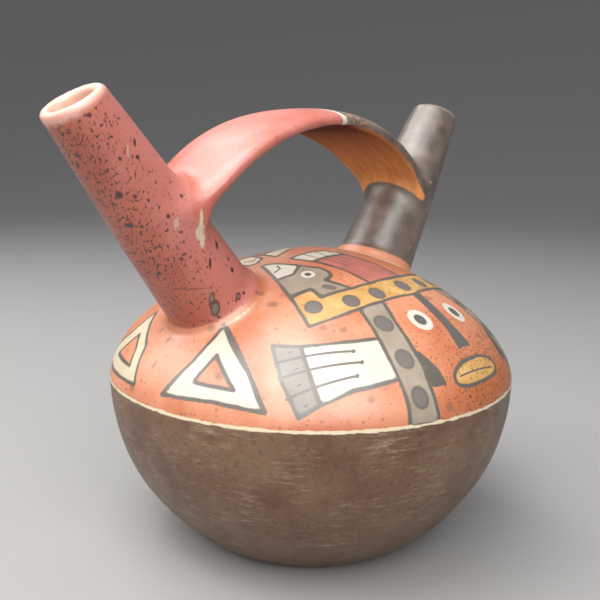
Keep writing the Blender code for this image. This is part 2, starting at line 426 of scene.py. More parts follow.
def settle(points):
    """Moves the points onto the smoothed clay surface and the round lips."""
    loose = np.ones(len(points))
    for spout in (RED_SPOUT, DARK_SPOUT):
        along, out = spout.measure(points)
        below = spout.length - LIP_REACH - np.where(out < LIP_ZONE_RADIUS, along, 0)
        loose *= np.where(below < 0, 1, np.clip(below / LIP_ZONE_FADE, 0, 1))
    for _ in range(SETTLE_ROUNDS):
        away = skin_distance(points)
        slope = np.zeros_like(points)
        for axis in range(3):
            shift = np.zeros(3)
            shift[axis] = SETTLE_STEP
            ahead, behind = skin_distance(points + shift), skin_distance(points - shift)
            slope[:, axis] = (ahead - behind) / (2 * SETTLE_STEP)
        size = np.maximum((slope**2).sum(1), LEAST_SLOPE)
        move = np.clip(away, -SETTLE_REACH, SETTLE_REACH) * loose / size
        points = points - slope * move[:, None]
    return points


def hollow_out(vessel):
    """Opens the chamber and both bores below the lips."""
    chamber = throw("chamber", body_outline(BODY_WALL, FLOOR_THICKNESS, CHAMBER_RINGS), CHAMBER_SIDES)
    for spout in (RED_SPOUT, DARK_SPOUT):
        top = spout.length - MOUTH_DEPTH + BORE_OVERLAP
        bottom = -SPOUT_SINK - BODY_WALL - BORE_DROP
        heights = (bottom, 0, top)
        outline = [(spout.bore(max(height, 0)) - BORE_LEDGE, height) for height in heights]
        bore = throw("bore", outline, BORE_SIDES)
        spout.stand_up(bore)
        apply_modifier(chamber, "BOOLEAN", operation="UNION", solver="EXACT", object=bore)
        bpy.data.objects.remove(bore)
    apply_modifier(vessel, "BOOLEAN", operation="DIFFERENCE", solver="EXACT", object=chamber)
    bpy.data.objects.remove(chamber)


def build_vessel():
    vessel = throw("painted_vessel", body_outline(0.0, 0.0, BODY_RINGS), BODY_SIDES)
    parts = [throw_spout(RED_SPOUT), throw_spout(DARK_SPOUT), bend_strap()]
    select_only(vessel)
    for part in parts:
        part.select_set(True)
    bpy.ops.object.join()
    apply_modifier(vessel, "REMESH", mode="VOXEL", voxel_size=CLAY_GRAIN * MM)
    for _ in range(RELAX_ROUNDS):
        apply_modifier(vessel, "SMOOTH", factor=0.5, iterations=2)
        move_points(vessel, settle(points_of(vessel)))
    hollow_out(vessel)
    select_only(vessel)
    bpy.ops.object.shade_smooth_by_angle(angle=math.radians(SMOOTH_ANGLE))
    return vessel


# The painting. A place on the shoulder is given as (x, y): y is the distance in
# millimetres from the crown down the middle of the painted face, and x the distance to
# the right of it, both measured along the clay. A belt place is (azimuth from the face's
# middle in degrees, millimetres above the equator).
FACE_AZIMUTH = 4.0
MIDDLE = 1.5
FAR = 20.0
BEYOND_LIP = 99.0
RIM_RADIUS = 14
PAINT_MARGIN = 4
TRACE_STEP = 5
BELT_STEPS = 5
OVAL_POINTS = 28
OVAL_POWER = 0.84
# Turns from the crown down to the equator
TURNS = np.radians(np.linspace(90, 0, 721))
PAINTS = ("cream", "grey", "yellow", "maroon", "dark")


def shoulder_table():
    """Distance along the clay from the crown, with the radius and height there."""
    rings = np.array([shoulder_ring(turn) for turn in TURNS])
    steps = np.hypot(*np.diff(rings, axis=0).T)
    return np.concatenate([[0], np.cumsum(steps)]), rings[:, 0], rings[:, 1]


ARC, ARC_RADIUS, ARC_HEIGHT = shoulder_table()
EQUATOR_ARC = ARC[-1]


def chart_of(points):
    """Each point's (x, y) place in the painting."""
    across = np.hypot(points[:, 0], points[:, 1]) / BODY_RADIUS
    rise = np.maximum(points[:, 2] - EQUATOR, 0) / SHOULDER_RISE
    half = SHOULDER_POWER / 2
    turn = np.arctan2(rise**half, across**half)
    arc = np.interp(-turn, -TURNS, ARC)
    arc = arc + np.maximum(EQUATOR - points[:, 2], 0)
    azimuth = np.arctan2(points[:, 0], -points[:, 1]) - math.radians(FACE_AZIMUTH)
    return np.stack([arc * np.sin(azimuth), arc * np.cos(azimuth)], 1)


def on_clay(chart):
    """The point on the shoulder at each (x, y) place."""
    arc = np.hypot(chart[:, 0], chart[:, 1])
    azimuth = np.arctan2(chart[:, 0], chart[:, 1]) + math.radians(FACE_AZIMUTH)
    radius = np.interp(arc, ARC, ARC_RADIUS)
    height = np.interp(arc, ARC, ARC_HEIGHT) - np.maximum(arc - EQUATOR_ARC, 0)
    return np.stack([radius * np.sin(azimuth), -radius * np.cos(azimuth), height], 1)


def belt(*places):
    """(azimuth, height above the equator) places as (x, y) places."""
    chart = []
    for azimuth, above in places:
        arc, turn = EQUATOR_ARC - above, math.radians(azimuth)
        chart.append((arc * math.sin(turn), arc * math.cos(turn)))
    return chart


def around(*corners):
    """Belt corners as a closed outline whose sides run level, as a brush does round a pot."""
    sides = zip(corners, corners[1:] + corners[:1])
    shares = [step / BELT_STEPS for step in range(BELT_STEPS)]
    return belt(*[(a + (c - a) * t, b + (d - b) * t) for (a, b), (c, d) in sides for t in shares])


def oval(x, y, wide, high, tilt=0.0):
    """A rather square-ended oval, as points."""
    lean = math.radians(tilt)
    outline = []
    for step in range(OVAL_POINTS):
        turn = 2 * math.pi * step / OVAL_POINTS
        across = wide * math.copysign(abs(math.cos(turn)) ** OVAL_POWER, math.cos(turn))
        down = high * math.copysign(abs(math.sin(turn)) ** OVAL_POWER, math.sin(turn))
        right = across * math.cos(lean) - down * math.sin(lean)
        low = across * math.sin(lean) + down * math.cos(lean)
        outline.append((x + right, y + low))
    return outline


def outline_distance(chart, outline):
    """Distance along the clay from a closed outline, in millimetres, negative inside."""
    corners = np.array(outline, float)
    after = np.roll(corners, -1, axis=0)
    inside = np.zeros(len(chart), bool)
    x, y = chart.T
    trace = []
    for (x0, y0), (x1, y1) in zip(corners, after):
        if y0 != y1:
            crossing = x0 + (y - y0) * (x1 - x0) / (y1 - y0)
            inside ^= ((y0 > y) != (y1 > y)) & (x < crossing)
        pieces = max(1, round(math.hypot(x1 - x0, y1 - y0) / TRACE_STEP))
        shares = np.arange(pieces)[:, None] / pieces
        trace.append(np.array([x0, y0]) + shares * np.array([x1 - x0, y1 - y0]))
    line = on_clay(np.concatenate(trace))
    points = on_clay(chart)
    nearest = np.full(len(chart), FAR**2)
    for start, end in zip(line, np.roll(line, -1, axis=0)):
        way = end - start
        rest = points - start
        share = np.clip(rest @ way / (way @ way), 0, 1)
        nearest = np.minimum(nearest, ((rest - share[:, None] * way) ** 2).sum(1))
    return np.sqrt(nearest) * np.where(inside, -1, 1)


class Painting:
    """The painted areas, each paint kept as a distance from the nearest edge it has."""

    def __init__(self, chart):
        self.front = chart
        self.both_faces = np.stack([chart[:, 0], np.abs(chart[:, 1])], 1)
        self.layers = {paint: np.full(len(chart), FAR) for paint in PAINTS}

    def fill(self, paint, outline, hole=None, twice=False, back_too=False):
        """Paints an outline. Twice adds its twin across the face, and back_too the back's."""
        chart = self.both_faces if back_too else self.front
        if twice:
            chart = np.stack([MIDDLE - np.abs(chart[:, 0] - MIDDLE), chart[:, 1]], 1)
        low, high = np.min(outline, axis=0) - PAINT_MARGIN, np.max(outline, axis=0) + PAINT_MARGIN
        near = ((chart > low) & (chart < high)).all(1)
        away = outline_distance(chart[near], outline)
        if hole:
            away = np.maximum(away, -outline_distance(chart[near], hole))
        layer = self.layers[paint]
        layer[near] = np.minimum(layer[near], away)


def paint_triangles(painting):
    """Leaning cream triangles with an open middle, two on each side of the body."""
    large = [(-81.3, 34.6), (-84.9, 19.5), (-90.6, 5.7), (-75.5, 6.9), (-62.2, 5.5), (-68.2, 18.2)]
    large_middle = [(-78.7, 22.8), (-82.2, 12.1), (-70.5, 11.5)]
    small = [(-122.4, 31.6), (-126.0, 19.2), (-138.5, 4.2), (-120.0, 4.6), (-102.6, 5.3), (-107.2, 19.0)]
    small_middle = [(-117.3, 21.4), (-123.7, 10.2), (-108.9, 10.2), (-111.6, 16.4)]
    for outer, inner in ((large, large_middle), (small, small_middle)):
        painting.fill("cream", around(*outer), hole=around(*inner), twice=True)


def paint_hands(painting):
    """A cream palm beside a grey sleeve, on each side of the face."""
    sleeve = [(-63.2, 28.6), (-54.9, 28.7), (-52.3, 18.7), (-49.7, 8.3), (-54.6, 4.4), (-59.0, 15.5)]
    palm = [(-54.9, 28.7), (-43.0, 30.4), (-30.9, 31.4), (-29.4, 15.6), (-41.7, 12.7)]
    palm += [(-49.7, 8.3), (-52.3, 18.7)]
    painting.fill("grey", around(*sleeve), twice=True)
    painting.fill("cream", around(*palm), twice=True)


def paint_face(painting):
    """A headband over eyes, nose and mouth, between two grey side bands."""
    top = [(-41.5, 22.8), (-33.0, 25.5), (-34.6, 31.4), (-21.5, 35.5), (-10.5, 37.4), (0, 38.0)]
    low = [(0, 49.2), (-17.0, 47.0), (-29.3, 44.6), (-38.5, 42.0), (-48.9, 37.3)]
    right = [(-x, y) for x, y in top[-2::-1]]
    right_low = [(-x, y) for x, y in low[:0:-1]]
    painting.fill("yellow", top + right + right_low + low, back_too=True)
    band = [(-29.3, 44.6), (-17.8, 47.0), (-23.2, 57.2), (-28.2, 73.0), (-31.6, 81.5), (-34.9, 92.5)]
    band += [(-47.4, 86.5), (-43.8, 80.0), (-40.8, 72.8), (-37.6, 64.2), (-33.1, 54.3)]
    painting.fill("grey", band, twice=True, back_too=True)
    cheek = [(-26.2, 67.0), (-24.9, 71.0), (-23.4, 77.6), (-23.7, 84.2), (-30.9, 81.7), (-28.6, 74.4)]
    painting.fill("dark", cheek, twice=True, back_too=True)
    nose = [(-0.6, 49.0), (4.9, 49.0), (3.6, 58.0), (2.4, 68.0), (2.9, 76.9)]
    nose += [(-2.2, 76.0), (-6.6, 76.5), (-3.6, 68.0), (-2.0, 58.5)]
    painting.fill("dark", nose, back_too=True)
    painting.fill("yellow", oval(-3.0, 85.1, 16.0, 4.4, 2.0), back_too=True)


def paint_crest(painting):
    """A maroon feather with a cream tip above the headband, and a fox's head beside it."""
    feather = [(-15.6, 12.7), (-6.5, 13.4), (2.9, 14.6), (6.6, 25.5), (8.1, 38.0)]
    feather += [(-12.2, 37.1), (-12.7, 25.5)]
    painting.fill("maroon", feather, back_too=True)
    tip = [(-18.4, 3.4), (-12.0, 4.4), (-1.7, 7.4), (3.4, 14.6), (-6.5, 13.4), (-15.8, 12.6)]
    painting.fill("cream", tip, back_too=True)
    ear = [(-28.0, -2.6), (-26.2, -1.6), (-24.6, 1.0), (-21.6, 11.0), (-28.7, 13.6), (-35.3, 11.1)]
    painting.fill("cream", ear)
    head = [(-28.7, 13.6), (-35.3, 11.1), (-41.4, 22.2), (-33.0, 25.5), (-34.4, 31.6), (-21.6, 35.4)]
    head += [(-24.9, 25.6), (-20.4, 25.2), (-18.6, 22.4), (-18.5, 18.6), (-20.0, 14.9), (-21.6, 11.0)]
    painting.fill("grey", head)
    back_ear = [(-25.8, -7.0), (-28.2, -9.2), (-26.6, -20.0), (-19.6, -22.4), (-16.0, -18.6), (-20.6, -8.6)]
    back_head = [(-26.6, -20.0), (-19.6, -22.4), (-16.4, -37.0), (-34.0, -36.0), (-37.0, -24.0)]
    painting.fill("cream", back_ear)
    painting.fill("grey", back_head)


def paint_attributes(vessel):
    """Keeps what the clay's colours need at each point, in millimetres."""
    points = points_of(vessel)
    chart = chart_of(points)
    depth = -clay_distance(points)
    painting = Painting(chart)
    for paint in (paint_triangles, paint_hands, paint_face, paint_crest):
        paint(painting)
    body, red = body_distance(points), spout_distance(RED_SPOUT, points)
    dark, strap = spout_distance(DARK_SPOUT, points), strap_distance(points)
    below_lip = np.full(len(points), BEYOND_LIP)
    for spout in (RED_SPOUT, DARK_SPOUT):
        along, out = spout.measure(points)
        below_lip = np.where(out < RIM_RADIUS, np.minimum(below_lip, spout.length - along), below_lip)
    turn, _, up = STRAP.measure(points)
    numbers = {"depth": depth, **painting.layers}
    vectors = {
        "chart": (chart[:, 0], chart[:, 1], chart[:, 0] * 0),
        "spouts": (body - red, body - dark, below_lip),
        "strap": (np.minimum(body, np.minimum(red, dark)) - strap, turn * STRAP.radius, up),
    }
    for name, values in numbers.items():
        layer = vessel.data.attributes.new(name, "FLOAT", "POINT")
        layer.data.foreach_set("value", values.astype(np.float32))
    for name, values in vectors.items():
        layer = vessel.data.attributes.new(name, "FLOAT_VECTOR", "POINT")
        layer.data.foreach_set("vector", np.stack(values, 1).astype(np.float32).ravel())


def hue(red, green, blue):
    """A colour by its usual 0 to 255 values, as a shader wants it."""
    parts = [value / 255 for value in (red, green, blue)]
    return (*[p / 12.92 if p <= 0.04045 else ((p + 0.055) / 1.055) ** 2.4 for p in parts], 1.0)


class Slips:
    """A material's nodes, with one short method for each kind."""

    def __init__(self, name):
        self.material = bpy.data.materials.new(name)
        self.material.use_nodes = True
        self.nodes = self.material.node_tree.nodes
        self.links = self.material.node_tree.links
        self.shader = self.nodes["Principled BSDF"]

    def feed(self, socket, value):
        if isinstance(value, bpy.types.NodeSocket):
            self.links.new(value, socket)
        else:
            socket.default_value = value

    def add(self, kind, inputs, **settings):
        node = self.nodes.new(kind)
        for name, value in settings.items():
            setattr(node, name, value)
        for key, value in inputs.items():
            self.feed(node.inputs[key], value)
        return node

    def math(self, operation, first, second=0.0, third=0.0):
        inputs = {0: first, 1: second, 2: third}
        return self.add("ShaderNodeMath", inputs, operation=operation).outputs[0]

    def vector(self, operation, first, second=(0.0, 0.0, 0.0)):
        return self.add("ShaderNodeVectorMath", {0: first, 1: second}, operation=operation).outputs[0]

    def length(self, vector):
        node = self.add("ShaderNodeVectorMath", {0: vector}, operation="LENGTH")
        return node.outputs["Value"]

    def parts(self, vector):
        return self.add("ShaderNodeSeparateXYZ", {0: vector}).outputs

    def combine(self, x, y, z=0.0):
        return self.add("ShaderNodeCombineXYZ", {0: x, 1: y, 2: z}).outputs[0]

    def ramp(self, value, start, end, low=0.0, high=1.0):
        """Goes from low to high as the value goes from start to end."""
        inputs = {0: value, 1: start, 2: end, 3: low, 4: high}
        return self.add("ShaderNodeMapRange", inputs).outputs[0]

    def below(self, value, edge, soft=0.12):
        return self.ramp(value, edge - soft, edge + soft, 1.0, 0.0)

    def above(self, value, edge, soft=0.12):
        return self.ramp(value, edge - soft, edge + soft)

    def mix(self, share, first, second):
        node = self.add("ShaderNodeMix", {0: share, 6: first, 7: second}, data_type="RGBA")
        return node.outputs[2]

    def attribute(self, name, output="Fac"):
        return self.add("ShaderNodeAttribute", {}, attribute_name=name).outputs[output]

    def noise(self, vector, size, detail=3.0, rough=0.55):
        """Cloudy noise from 0 to 1 whose features are about this many millimetres."""
        inputs = {"Vector": vector, "Scale": 1 / size, "Detail": detail, "Roughness": rough}
        return self.add("ShaderNodeTexNoise", inputs).outputs["Fac"]

    def specks(self, vector, spacing, radius, share):
        """Round specks about a spacing apart, present in a share of their places."""
        inputs = {"Vector": vector, "Scale": 1 / spacing}
        cells = self.add("ShaderNodeTexVoronoi", inputs)
        near = self.below(cells.outputs["Distance"], radius / spacing, 0.25 * radius / spacing)
        chosen = self.math("LESS_THAN", self.parts(cells.outputs["Color"])[0], share)
        return self.math("MULTIPLY", near, chosen)

    def either(self, *masks):
        total = masks[0]
        for mask in masks[1:]:
            total = self.math("MAXIMUM", total, mask)
        return total

    def nearest(self, *distances):
        total = distances[0]
        for distance in distances[1:]:
            total = self.math("MINIMUM", total, distance)
        return total

    def both(self, first, second):
        return self.math("MULTIPLY", first, second)

    def dot(self, chart, x, y, wide, high=None, turn=0.0):
        """1 at the rim of a dot or a leaning dab, less inside it."""
        inputs = {
            "Vector": chart,
            "Location": (x, y, 0.0),
            "Rotation": (0.0, 0.0, math.radians(turn)),
            "Scale": (wide, high or wide, 1.0),
        }
        return self.length(self.add("ShaderNodeMapping", inputs, vector_type="TEXTURE").outputs[0])

    def stroke(self, chart, start, end, width=0.9):
        """1 at the edge of a brush stroke from one place to another, less inside it."""
        (x0, y0), (x1, y1) = start, end
        half = math.hypot(x1 - x0, y1 - y0) / 2 + width / 2
        inputs = {
            "Vector": chart,
            "Location": ((x0 + x1) / 2, (y0 + y1) / 2, 0.0),
            "Rotation": (0.0, 0.0, math.atan2(y1 - y0, x1 - x0)),
            "Scale": (half, width / 2, 1.0),
        }
        place = self.add("ShaderNodeMapping", inputs, vector_type="TEXTURE").outputs[0]
        x, y, _ = self.parts(self.vector("ABSOLUTE", place))
        return self.math("MAXIMUM", self.math("POWER", x, 6.0), y)


# Slip colours
ORANGE = hue(190, 125, 93)
DEEP_ORANGE = hue(176, 103, 69)
BURNT_ORANGE = hue(162, 90, 44)
CREAM = hue(190, 184, 170)
WARM_CREAM = hue(188, 175, 148)
LINE_CREAM = hue(204, 190, 162)
GREY = hue(147, 135, 121)
WORN_GREY = hue(130, 117, 99)
PALE_GREY = hue(112, 104, 94)
OUTLINE = hue(80, 75, 68)
DOT = hue(96, 89, 83)
YELLOW = hue(192, 154, 94)
BURNT_YELLOW = hue(175, 127, 67)
MAROON = hue(144, 87, 79)
SPOT = hue(122, 79, 61)
SPECK = hue(50, 24, 16)
BROWN = hue(110, 86, 64)
RED_BROWN = hue(92, 64, 46)
BURNISH = hue(150, 132, 112)
RED = hue(165, 82, 60)
DEEP_RED = hue(150, 68, 46)
PINK = hue(175, 102, 91)
GREY_BROWN = hue(110, 95, 86)
BLACK_BROWN = hue(59, 48, 41)
TAN = hue(206, 142, 88)
DARK_TAN = hue(86, 34, 22)
RED_LIP = hue(204, 150, 134)
DARK_LIP = hue(122, 109, 97)
LIT_MOUTH_CREAM = hue(202, 187, 167)
RAW_CLAY = hue(137, 97, 71)

# Places in the painting, in millimetres
HEADBAND_DOTS = ((15.4, 42.7), (28.0, 40.0), (40.5, 32.5))
BAND_DOTS = ((27.4, 54.5), (32.9, 68.7), (38.0, 81.4))
EYES = ((-11.6, 60.4), (13.4, 61.4))
FOX_EYES = ((-25.6, 18.1), (-23.8, -28.0))
STAINS = (
    (-45.0, 11.7), (-47.1, 20.1), (-46.1, 41.3), (-41.8, 47.0), (-54.4, 70.4),
    (-69.0, -19.9), (-73.4, -11.8), (-83.5, -11.4),
)
FACE_STROKES = (
    ((-12.0, 4.6), (-11.6, 12.2)),
    ((-6.4, 6.2), (-6.9, 13.2)),
    ((-1.4, 8.0), (-2.3, 13.8)),
    ((-10.7, 13.2), (-8.2, 23.5)),
    ((-7.1, 13.8), (-4.9, 21.4)),
    ((-3.5, 14.4), (-1.9, 21.0)),
    ((-15.6, 84.2), (8.6, 86.4)),
)
FOX_STROKES = (
    ((-26.0, 3.6), (-27.4, 6.2)),
    ((-27.4, 6.2), (-30.8, 6.4)),
    ((-20.6, -12.0), (-23.6, -11.0)),
    ((-23.6, -11.0), (-23.8, -15.4)),
)

# Blemishes on the clay: centre and half sizes, in millimetres
JOINT_CHIP = (
    ((-68.3, -12.2, 130.4), (0.8, 4.0, 2.8)),
    ((-68.2, -12.5, 126.4), (1.5, 4.0, 2.7)),
    ((-66.9, -13.2, 123.2), (0.9, 4.0, 2.4)),
)
SPOUT_NICKS = (
    ((-76.5, -11.3, 129.4), (0.9, 1.4, 1.9)),
    ((-92.1, -9.2, 151.3), (0.35, 0.6, 2.0)),
)
FOOT_BLOTS = (
    ((-62.4, -11.7, 103.8), (0.8, 1.2, 1.9)),
    ((-60.8, -11.4, 100.0), (1.3, 1.3, 2.7)),
    ((-52.5, -13.7, 103.3), (0.9, 1.0, 1.1)),
)
SPOUT_BLOTS = (
    ((-59.7, -11.4, 121.5), (0.7, 1.5, 1.9)),
    ((-63.9, -12.6, 115.7), (0.6, 1.5, 1.7)),
    ((-53.9, -12.3, 112.4), (0.8, 1.5, 0.9)),
    ((-93.4, -6.0, 138.2), (1.0, 1.5, 1.3)),
    ((-89.0, -4.0, 128.8), (1.6, 1.5, 0.8)),
    ((-89.4, -9.0, 154.0), (0.6, 1.5, 1.2)),
)
SPOUT_SCRATCH = ((-69.6, -8.9, 107.3), (6.0, 4.6, 0.35))
# Direction across the red spout towards its flecked side, and its middle's distance that way
FLECKED_SIDE = (-0.667, 0.745, -0.530)
FLECKED_MIDDLE = -19.1


class PaintedClay(Slips):
    """The vessel's slips, with what every painted area reads about its place."""

    def __init__(self):
        super().__init__("painted_clay_slips")
        metres = self.add("ShaderNodeTexCoord", {}).outputs["Object"]
        self.place = self.vector("MULTIPLY", metres, (1000.0, 1000.0, 1000.0))
        self.x, self.y, self.z = self.parts(self.place)
        self.chart = self.attribute("chart", "Vector")
        self.chart_x, self.chart_y, _ = self.parts(self.chart)
        aside = self.math("ABSOLUTE", self.math("SUBTRACT", self.chart_x, MIDDLE))
        self.aside = self.math("SUBTRACT", aside, MIDDLE)
        self.down = self.math("ABSOLUTE", self.chart_y)
        self.ragged = self.shift(3.0, 1.2)
        drift = self.combine(self.ragged, self.shift(2.4, 1.2), self.shift(2.0, 1.2))
        self.warp = self.vector("ADD", self.place, drift)
        self.cloud = self.ramp(self.noise(self.place, 20.0, 3.0), 0.35, 0.65)
        self.mottle = self.ramp(self.noise(self.place, 7.0, 4.0), 0.3, 0.7)
        self.fine = self.noise(self.place, 1.5, 2.0)

    def shift(self, size, reach):
        """Noise either side of zero."""
        return self.math("MULTIPLY", self.math("SUBTRACT", self.noise(self.place, size), 0.5), reach)

    def wavering(self, value, reach):
        """The value, shifted a little to and fro so that what it bounds has a brushed edge."""
        return self.math("ADD", value, self.both(self.ragged, reach))

    def near_line(self, value, middle, half_width):
        """1 within a half width of a line's middle."""
        away = self.math("ABSOLUTE", self.math("SUBTRACT", value, middle))
        return self.below(self.math("SUBTRACT", away, half_width), 0.0)

    def mark(self, centre, sizes, soft=0.2):
        inputs = {"Vector": self.warp, "Location": centre, "Scale": sizes}
        place = self.add("ShaderNodeMapping", inputs, vector_type="TEXTURE").outputs[0]
        return self.below(self.length(place), 1.0, soft)

    def flecks(self, vector, size, share):
        """Small ragged flecks, thicker where the share is nearer 1."""
        level = self.ramp(share, 0, 1, 0.74, 0.55)
        over = self.math("SUBTRACT", self.noise(vector, size, 3.0), level)
        return self.ramp(over, 0.0, 0.04)

    def ground(self):
        """Orange slip, clouded, with soft brown spots, and grains that thicken under the mouth."""
        colour = self.mix(self.ramp(self.cloud, 0.2, 0.9), ORANGE, DEEP_ORANGE)
        stained = self.both(self.ramp(self.chart_y, 58, 92), self.ramp(self.chart_x, -34, -6))
        colour = self.mix(self.both(stained, 0.9), colour, BURNT_ORANGE)
        colour = self.mix(self.both(self.specks(self.warp, 9.0, 1.6, 0.3), 0.65), colour, SPOT)
        colour = self.mix(self.both(self.specks(self.warp, 3.0, 0.6, 0.3), 0.6), colour, SPOT)
        stains = self.nearest(*[self.dot(self.chart, x, y, 1.5, 1.2, 30) for x, y in STAINS])
        colour = self.mix(self.both(self.below(stains, 1.0, 0.3), 0.65), colour, SPOT)
        freckled = self.ramp(self.chart_x, -60, 15, 0.48, 0.66)
        grains = self.flecks(self.place, 0.9, self.math("ADD", freckled, self.both(stained, 0.6)))
        return self.mix(self.both(grains, 0.7), colour, SPECK)

    def dabs(self):
        """Distances to the dark dabs, the pupils, and the cream rings around the eyes."""
        any_face = self.combine(self.chart_x, self.down)
        half_face = self.combine(self.aside, self.down)
        front_half = self.combine(self.aside, self.chart_y)
        dots = [self.dot(any_face, 0.9, 43.5, 3.3), self.dot(self.chart, -27.6, 29.5, 2.6, 1.4, 60)]
        either_side = self.combine(self.math("ABSOLUTE", self.chart_x), self.down)
        for place in HEADBAND_DOTS:
            dots.append(self.dot(either_side, *place, 3.2))
        for place in BAND_DOTS:
            dots.append(self.dot(half_face, *place, 3.4, 3.7))
        pupils = [self.dot(any_face, *place, 2.6) for place in EYES]
        pupils += [self.dot(self.chart, *place, 1.3) for place in FOX_EYES]
        rings = [self.dot(any_face, *place, 5.1) for place in EYES]
        rings += [self.dot(self.chart, *place, 2.7) for place in FOX_EYES]
        strokes = []
        for start, end in (
            belt((61.4, 21.8), (39.9, 26.8)),
            belt((59.8, 16.6), (38.2, 22.5)),
            belt((57.5, 10.0), (40.2, 17.7)),
        ):
            strokes.append(self.stroke(front_half, start, end, 0.9))
            strokes.append(self.dot(front_half, *end, 0.9, 0.7))
        top, middle, corner = belt((81.3, 35.0), (68.1, 18.3), (62.3, 5.9))
        for start, end in ((top, middle), (middle, corner)):
            strokes.append(self.stroke(front_half, start, end, 1.5))
        for place in belt((57.7, 26.3), (55.7, 20.2), (54.8, 14.7), (53.0, 8.2)):
            strokes.append(self.dot(front_half, *place, 0.35, 0.9, 65))
        strokes += [self.stroke(any_face, start, end, 0.6) for start, end in FACE_STROKES]
        strokes += [self.stroke(self.chart, start, end, 0.8) for start, end in FOX_STROKES]
        return self.nearest(*dots), self.nearest(*pupils, *strokes), self.nearest(*rings)

    def painting(self):
        """The painted areas over the ground, their outlines, and the dabs on top."""
        shake = self.shift(5.0, 0.6)
        cream, grey, yellow, maroon, dark = [
            self.math("ADD", self.attribute(paint), shake) for paint in PAINTS
        ]
        grey = self.math("MAXIMUM", grey, self.math("MULTIPLY", yellow, -1.0))
        sleeve = self.both(self.above(self.chart_y, 20, 6), self.above(self.aside, 50, 1))
        grey_slip = self.mix(sleeve, self.mix(self.mottle, GREY, WORN_GREY), PALE_GREY)
        small_triangle = self.below(self.chart_y, 0, 4)
        cream_slip = self.mix(self.both(self.mottle, 0.5), CREAM, WARM_CREAM)
        cream_slip = self.mix(small_triangle, cream_slip, WARM_CREAM)
        colour = self.ground()
        for edge, slip in (
            (maroon, self.mix(self.mottle, MAROON, PINK)),
            (grey, grey_slip),
            (yellow, self.mix(self.mottle, YELLOW, BURNT_YELLOW)),
            (cream, cream_slip),
        ):
            colour = self.mix(self.below(edge, 0.0), colour, slip)
        grains = self.flecks(self.place, 1.1, self.ramp(self.chart_x, -40, 0, 0.35, 0.85))
        painted = self.below(self.nearest(grey, yellow), -0.6)
        colour = self.mix(self.both(self.both(grains, painted), 0.6), colour, SPECK)
        dots, strokes, rings = self.dabs()
        colour = self.mix(self.below(rings, 1.0, 0.03), colour, CREAM)
        widths = self.ramp(self.noise(self.place, 11.0, 2.0), 0.3, 0.7, 0.5, 0.9)
        edges = self.nearest(*[self.math("ABSOLUTE", edge) for edge in (cream, grey, yellow, maroon)])
        line = self.below(self.math("SUBTRACT", edges, widths), 0.0, 0.25)
        colour = self.mix(self.below(dots, 1.0, 0.06), colour, DOT)
        rim = self.near_line(dots, 0.95, 0.1)
        inked = self.either(line, rim, self.below(dark, 0.0), self.below(strokes, 1.0, 0.08))
        thin = self.ramp(self.fine, 0.75, 0.6, 0.8, 1.0)
        return self.mix(self.both(inked, thin), colour, OUTLINE)

    def lower_half(self):
        """Brown slip, redder in clouds, with painted shade darkening it towards one side, and pale strokes
        in patches.
        """
        flat = self.vector("MULTIPLY", self.place, (0.14, 0.14, 1.0))
        strokes = self.ramp(self.noise(flat, 1.0, 4.0, 0.7), 0.5, 0.66)
        patches = self.ramp(self.noise(self.warp, 15.0, 4.0, 0.65), 0.45, 0.72)
        colour = self.mix(self.cloud, BROWN, RED_BROWN)
        ashen = self.ramp(self.noise(self.warp, 3.5, 3.0), 0.45, 0.7, 0.0, 0.3)
        colour = self.mix(ashen, colour, GREY_BROWN)
        colour = self.mix(self.both(strokes, patches), colour, BURNISH)
        # Painted shade: darker towards +X, the side away from the lights, with darker fine grain mixed in
        shade = self.ramp(self.x, -5, 50, 0.0, 0.75)
        shade = self.math("MAXIMUM", shade, self.ramp(self.fine, 0.5, 0.75, 0.0, 0.5))
        colour = self.mix(shade, colour, BLACK_BROWN)
        nicks = self.specks(self.warp, 3.0, 0.45, 0.3)
        return self.mix(self.both(nicks, 0.6), colour, BLACK_BROWN)

    def red_slip(self):
        """Red slip, pinker on one side as painted light, thick with black flecks on the other."""
        inputs = {0: self.place, 1: FLECKED_SIDE}
        across = self.add("ShaderNodeVectorMath", inputs, operation="DOT_PRODUCT").outputs["Value"]
        side = self.math("SUBTRACT", across, FLECKED_MIDDLE)
        side = self.math("ADD", side, self.shift(9.0, 18.0))
        colour = self.mix(self.cloud, RED, DEEP_RED)
        # Painted light: the side away from the flecks is turned pinker, as where light falls on the spout
        colour = self.mix(self.ramp(side, 3, -9), colour, PINK)
        thick = self.both(self.ramp(side, -16, 3, 0.4, 1.0), self.ramp(self.z, 92, 122, 0.7, 1.0))
        narrow = self.vector("MULTIPLY", self.warp, (1.0, 1.0, 0.6))
        flecks = self.either(
            self.flecks(narrow, 0.8, thick),
            self.flecks(narrow, 1.6, self.both(thick, 0.7)),
            self.specks(self.warp, 5.0, 0.7, self.both(thick, 0.5)),
        )
        return self.mix(self.both(flecks, 0.95), colour, SPECK)

    def dark_slip(self):
        """Grey-brown slip in darker clouds, with a few pale specks."""
        clouds = self.ramp(self.noise(self.place, 12.0, 4.0), 0.35, 0.7)
        colour = self.mix(clouds, GREY_BROWN, BLACK_BROWN)
        pale = self.specks(self.warp, 8.0, 0.7, 0.2)
        return self.mix(self.both(pale, 0.7), colour, WARM_CREAM)

